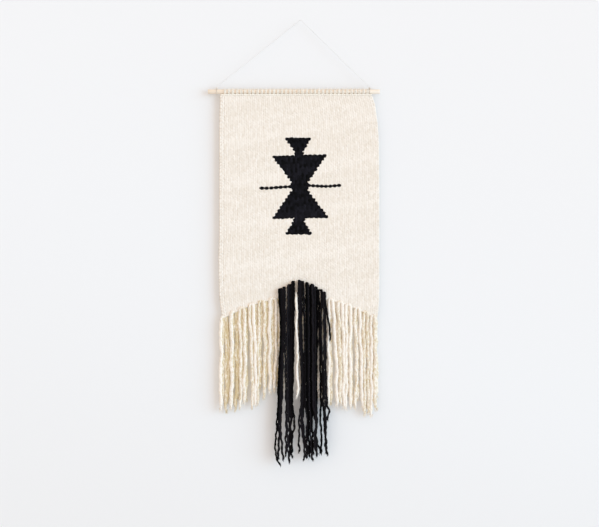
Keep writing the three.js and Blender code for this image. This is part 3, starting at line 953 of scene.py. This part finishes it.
# The pairs of neighbours that have another strand behind them, by the number of the left one.
BLACK_BEHIND = (0, 1, 4, 5, 6, 8, 12, 14, 15, 16)
# The stray strand that hangs off the last tassel.
STRAY = [(44.4, -505.0), (49.2, -530.5), (51.4, -548.0), (52.2, -566.0)]
# Depths of the black wool: over its fold, the nearer and the farther of the long strands, those
# behind them, and the stray strand.
FOLD_Y, BLACK_NEAR_Y, BLACK_FAR_Y, BLACK_BACK_Y, STRAY_Y = -4.4, -9.2, -6.6, -5.0, -8.6
# The height from which the falls of the cream strands are measured.
CORNER_Z = -527.0
# How far a fold comes down before its strand hangs free, and over what length its sway grows.
FOLD_LENGTH, SWAY_GROWTH = 7.0, 30.0
# Sway sideways and in depth, as the height and pitch of each drift. The last two of the black
# wool's are its kinks.
CREAM_SWAY = ((1.2, 78), (0.22, 13), (0.3, 40))
BLACK_SWAY = ((0.55, 45), (0.25, 38), (0.95, 21), (0.8, 24))


def thick_and_thin(path, radius, unevenness, rng, pitch, taper):
    """Radius along a strand: slow swells and quick lumps, drawn in over the last few millimetres
    and a little at the start."""
    far = lengths(path)
    left = far[-1] - far
    lumps = 1 + unevenness * drift(far, rng, pitch)
    lumps = lumps + 0.45 * unevenness * drift(far, rng, pitch / 5)
    end = 0.25 + 0.75 * np.clip(left / taper, 0, 1) ** 0.6
    start = 0.72 + 0.28 * np.clip(far / 6, 0, 1)
    return radius * lumps * end * start


def wisps(yarns, tip, radius, count, reach, rng, tone):
    """Loose fibres at a cut end: short tapering hairs that fan out and down."""
    for _ in range(count):
        lean = rng.normal(0, 0.35, 2)
        long = reach * rng.uniform(0.5, 1.1)
        start = tip + np.array([rng.normal(0, radius * 0.4), rng.normal(0, radius * 0.3), 2.5])
        end = start + np.array([lean[0] * long, lean[1] * long * 0.4, -long - 2.5])
        middle = (start + end) / 2 + np.array([rng.normal(0, 0.6), 0, 0])
        path = curve_through([start, middle, end], long / 5)
        thin = np.linspace(radius * 0.3, 0.06, len(path))
        yarns.add(path, thin, sides=5, tone=tone)


def cream_strand(yarns, middle, strand, bottom, radius, tone, rng):
    """One leg of a folded length: out to its own place and down to its end, with a slight sway
    that grows from the knot. A front leg starts at the top of its fold before the lower edge,
    one behind starts inside the edge, and the one far forward starts above the edge."""
    top, half_way_x, end, depth = strand
    y = CREAM_DEPTH[depth]
    edge = lower_edge(middle)
    start = edge - FOLD_LENGTH
    half_way = (start + bottom) / 2
    if depth == FORWARD:
        head = [(top, -1.2, edge + 9.5), (top, -4.8, edge + 6.5), (top, -6.8, edge - 1.0)]
    elif depth == FRONT:
        head = [(middle, -1.6, edge + 1.6), (middle + 0.62 * (top - middle), -2.3, edge + 0.2)]
    else:
        head = [(top, 0.2, edge + 1.0), (top, 0.2, edge - 2.0)]
    stops = head + [
        (top, 0.4 * y - 1.2 if depth == FRONT else y, start),
        (top + 0.3 * (half_way_x - top), y, 0.6 * start + 0.4 * half_way),
        (half_way_x, y, half_way),
        (half_way_x + 0.55 * (end - half_way_x), y, (half_way + bottom) / 2),
        (end, y, bottom),
    ]
    path = curve_through(stops, 1.3)
    far = lengths(path)
    grow = np.clip(far / SWAY_GROWTH, 0, 1)
    slow, quick, deep = (height * drift(far, rng, pitch) for height, pitch in CREAM_SWAY)
    path[:, 0] += grow * (slow + quick)
    path[:, 1] += grow * deep
    size = thick_and_thin(path, radius, 0.1, rng, 34, 9)
    yarns.add(path, plied(size, path, 12, 2, 15, 0.06), sides=12, tone=tone)
    wisps(yarns, path[-1], radius, 7, 6.0, rng, tone)


def cream_tassel(name, strands, falls, paleness, material, seed):
    """Two thick and thin cream strands folded over the lower edge, and two more behind them; those
    behind are painted darker, as shade.
    """
    rng = np.random.default_rng(seed)
    yarns = Yarns()
    middle = (strands[0][0] + strands[1][0]) / 2
    for strand, fall in zip(strands, falls):
        behind = strand[3] == BEHIND
        radius = rng.uniform(2.6, 3.1) if behind else rng.uniform(2.6, 3.3)
        # Strands behind get a darker tone than those in front: painted shade.
        tone = rng.uniform(0.1, 0.4) if behind else rng.uniform(0.5, 1.0)
        if strand[0] in WHITEST:
            tone = 1.0
        if strand[3] == FORWARD:
            radius = FORWARD_RADIUS
        cream_strand(yarns, middle, strand, CORNER_Z - fall, radius, tone, rng)
    for share in (0.35, 1.3):
        places = [first + share * (second - first) for first, second in zip(strands[0], strands[1])]
        places = [place + rng.normal(0, 0.8) for place in places[:3]]
        bottom = CORNER_Z - min(falls) + rng.uniform(3, 22)
        # The two more behind are painted darkest, as shade, less the group's paleness.
        tone = rng.uniform(0.0, 0.3) + paleness
        strand = (*places, BEHIND)
        cream_strand(yarns, middle, strand, bottom, rng.uniform(3.1, 3.6), tone, rng)
    return yarns.piece(name, material)


def black_strand(yarns, stops, radius, tone, rng, kinks):
    """A black strand through its stops: a slow sway, and kinks over its last third."""
    path = curve_through(stops, 1.3)
    far = lengths(path)
    grow = np.clip(far / SWAY_GROWTH, 0, 1)
    kink = kinks * np.clip((far / far[-1] - 0.62) / 0.3, 0, 1)
    for axis in (0, 1):
        (sway, pitch), (bend, bend_pitch) = BLACK_SWAY[axis], BLACK_SWAY[axis + 2]
        swaying = sway * grow * drift(far, rng, pitch)
        path[:, axis] += swaying + bend * kink * drift(far, rng, bend_pitch, 2)
    size = thick_and_thin(path, radius, 0.09, rng, 22, 2.5)
    yarns.add(path, plied(size, path, 10, 2, 9, 0.12), sides=10, tone=tone)
    wisps(yarns, path[-1], radius, 3, 2.5, rng, tone)


def black_tassel(name, number, material):
    """Two long black strands folded over an end on the front of the panel, with shorter ones
    behind them, and the stray strand that hangs off the last tassel."""
    rng = np.random.default_rng(900 + number)
    yarns = Yarns()
    top = BLACK_TOPS[number] - 1.9
    pair = (2 * number, 2 * number + 1)
    middle = (BLACK[pair[0]][0][0] + BLACK[pair[1]][0][0]) / 2
    fold = [(middle, -3.0, top)]
    for index in pair:
        places, tail = BLACK[index]
        y = BLACK_NEAR_Y if (index + number) % 2 == 0 else BLACK_FAR_Y
        shoulder = middle + 0.92 * (places[0] - middle)
        knot = [(shoulder, FOLD_Y, top - 0.4), (places[0], 0.85 * y, top - FOLD_LENGTH)]
        falls = [(x, y, z) for x, z in zip(places[1:], BLACK_LEVELS)]
        falls += [(x, y, z) for x, z in tail]
        black_strand(yarns, fold + knot + falls, rng.uniform(1.65, 1.95), rng.random(), rng, 1.0)
    for index in pair:
        if index not in BLACK_BEHIND:
            continue
        here, beside = BLACK[index][0], BLACK[index + 1][0]
        between = [(one + two) / 2 for one, two in zip(here, beside)][:4]
        falls = [(x, BLACK_BACK_Y, z) for x, z in zip(between[1:], BLACK_LEVELS)]
        falls[-1] = (*falls[-1][:2], falls[-1][2] - rng.uniform(5, 40))
        knot = [(between[0], FOLD_Y, top - 5.0)]
        black_strand(yarns, fold + knot + falls, 1.9, rng.random(), rng, 0.5)
    if number == len(BLACK_TOPS) - 1:
        stray = [(x, STRAY_Y, z) for x, z in STRAY]
        black_strand(yarns, [(middle, -3.4, top - 3.0), *stray], 1.8, 0.5, rng, 0.5)
    return yarns.piece(name, material)


# ----- Camera, stage and lights: lens and sensor in millimetres, the rest in metres

LENS = 60.0
SENSOR = 36.0
VIEW_WIDTH = 1.0602
VIEW_CENTRE = (-0.0018, -0.4298)
WALL_Y, WALL_TOP_Z, FLOOR_Z = 0.0090, 0.9, -1.25
STAGE_REACH, FLOOR_REACH = 1.7, 3.0


def make_camera():
    """A camera straight in front, as far off as makes the view as wide as it should be."""
    camera = placed("camera", bpy.data.cameras.new("camera"))
    camera.data.lens, camera.data.sensor_width = LENS, SENSOR
    camera.location = (VIEW_CENTRE[0], -VIEW_WIDTH * LENS / SENSOR, VIEW_CENTRE[1])
    camera.rotation_euler = (math.radians(90), 0, 0)
    bpy.context.scene.camera = camera


def panel_of_stage(name, near_edge, far_edge, material):
    """A flat rectangle from one edge to another: each is the depth and height of a line that
    reaches equally far to both sides."""
    corners = [(-STAGE_REACH, *near_edge), (STAGE_REACH, *near_edge),
               (STAGE_REACH, *far_edge), (-STAGE_REACH, *far_edge)]
    mesh = bpy.data.meshes.new(name)
    mesh.from_pydata(corners, [], [(0, 1, 2, 3)])
    mesh.materials.append(material)
    piece = placed(name, mesh)


def make_stage():
    """A wall close behind the hanging, a floor well below it, an even warm surrounding light and
    a broad cool window light from the right."""
    panel_of_stage("plain_wall", (WALL_Y, FLOOR_Z), (WALL_Y, WALL_TOP_Z),
                   plain_stage("plain_wall", (0.85, 0.85, 0.85), 0.8))
    panel_of_stage("plain_floor", (-FLOOR_REACH, FLOOR_Z), (FLOOR_REACH, FLOOR_Z),
                   plain_stage("plain_floor", (0.8, 0.8, 0.8), 1.0))
    world = bpy.data.worlds.new("studio")
    bpy.context.scene.world = world
    world.use_nodes = True
    surround = world.node_tree.nodes["Background"]
    surround.inputs["Color"].default_value = (1.0, 0.885, 0.805, 1)
    surround.inputs["Strength"].default_value = 0.98
    data = bpy.data.lights.new("window", "SUN")
    data.energy, data.angle, data.color = 1.9, math.radians(50), (0.44, 0.72, 0.96)
    light = placed("window", data)
    light.location = (1.5, -1.0, 0.3)
    light.rotation_euler = (math.radians(86), 0, math.radians(58))
    bpy.context.scene.view_settings.view_transform = "Standard"


# ----- Putting it together

make_camera()
make_stage()

thread_cotton = cotton("thread_cotton", (0.98, 0.965, 0.94), (0.93, 0.905, 0.87), 900)
warp_cotton = cotton("warp_cotton", (0.97, 0.92, 0.83), (0.86, 0.77, 0.65), 420)
# The knots' cotton is the thread's cotton painted darker and tan, as the shade between its turns.
knot_cotton_painted_shade = cotton("knot_cotton_painted_shade", (0.93, 0.84, 0.73), (0.86, 0.75, 0.62), 900)
weft_wool = natural_wool("weft_wool", (0.91, 0.84, 0.755), (0.825, 0.745, 0.645),
                         (260, 2200, 2200), (0, 0.12, 0), 0.0005, 0.25)
# The roving's dark end, a yellowish tan, is painted shade for the strands behind and the hollows
# between its curls.
roving_wool = natural_wool("roving_wool", (0.935, 0.865, 0.78), (0.68, 0.55, 0.33),
                           (1500, 1500, 170), (0, 0.25, 0), 0.0007, 1.0)
weft_black = black_wool("weft_black", (260, 2200, 2200), (0, 0.12, 0),
                        (0.011, 0.0105, 0.015), 0.12)
strand_black = black_wool("strand_black", (1700, 1700, 240), (0, 0.35, 0),
                          (0.015, 0.0135, 0.0165), 0.04)
birch = bare_wood("birch_wood")

thread, thread_path = make_thread(thread_cotton)
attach(thread, "hanger")
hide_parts("hanging_cord")
for side, where in ((-1, "left"), (1, "right")):
    end = THREAD_ROUTE[0] if side < 0 else THREAD_ROUTE[-1]
    knot = make_knot(f"thread_knot_{where}", end[0], side, knot_cotton_painted_shade)
    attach(knot, "hanger")
    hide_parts(f"cord_knot_{where}")

rod = make_dowel(birch)
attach(rod, "hanger")
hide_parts("dowel")

loops = make_warp_loops(warp_cotton)
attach(loops, "panel")
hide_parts("warp_loops")

beads = weave()
ground = bead_cloth("weft_ground", beads, beads["chosen"] & ~beads["black"], weft_wool)
figure = bead_cloth("weft_figure", beads, beads["black"], weft_black)
line_pieces = [line_yarn(f"weft_line_{side}", LINES[side], weft_black) for side in LINES]
hem = edge_yarn("weft_edge_yarn", weft_wool)
for piece, node, finish in (
    (ground, "woven_ground", "natural_weft"),
    (figure, "woven_figure", "black_wool"),
    (line_pieces[0], "woven_line_left", "black_wool"),
    (line_pieces[1], "woven_line_right", "black_wool"),
):
    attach(piece, "panel")
    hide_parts(node)
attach(hem, "panel")
turns = figure_turns("weft_figure_turns", weft_black)
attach(turns, "panel")

for group, strands in CREAM.items():
    for index in range(len(strands) // 2):
        node = f"cream_tassel_{group}_{index + 1}"
        pair = slice(2 * index, 2 * index + 2)
        seed = 100 * (1 + len(group)) + index
        piece = cream_tassel(f"cream_strands_{group}_{index + 1}", strands[pair],
                             CREAM_FALL[group][pair], PALENESS[group], roving_wool, seed)
        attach(piece, node)
        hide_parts(node)
for number in range(len(BLACK_TOPS)):
    node = f"black_tassel_{number + 1}"
    piece = black_tassel(f"black_strands_{number + 1}", number, strand_black)
    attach(piece, node)
    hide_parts(node)
